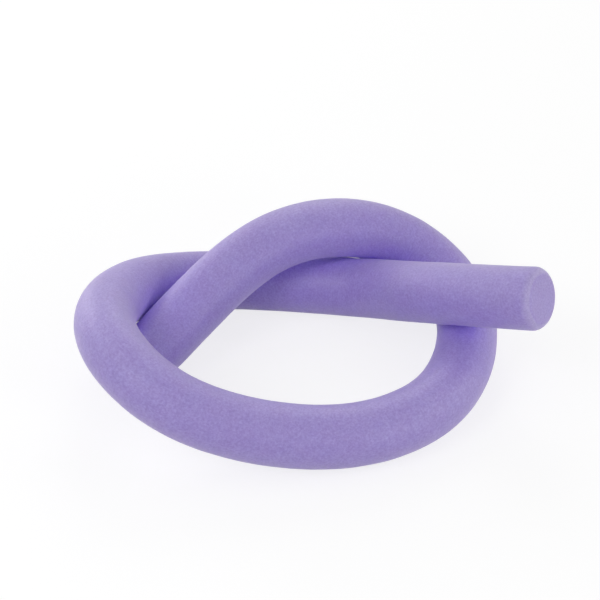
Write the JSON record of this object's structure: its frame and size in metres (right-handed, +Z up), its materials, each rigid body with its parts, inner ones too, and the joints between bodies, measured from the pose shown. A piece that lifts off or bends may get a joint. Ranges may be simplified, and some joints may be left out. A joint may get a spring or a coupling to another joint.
{
  "type": "pool noodle",
  "caption": "Solid foam pool noodle tied in a loose overhand knot and lying on the floor, with its free end raised over the loop; a soft buoyancy aid for swimming and play.",
  "frame": {"origin": "middle of the knot's outline seen from above, on the floor that it lies on", "axes": "+X along the knot's longest side, towards the raised end; +Y to the back, over the arch; +Z up"},
  "size_m": [0.4912, 0.3464, 0.1577],
  "materials": {
    "foam": "violet closed-cell polyethylene foam, matte, with a fine mottled cell grain"
  },
  "bodies": {
    "root": {"foam_noodle": "foam"}
  },
  "joints": []
}
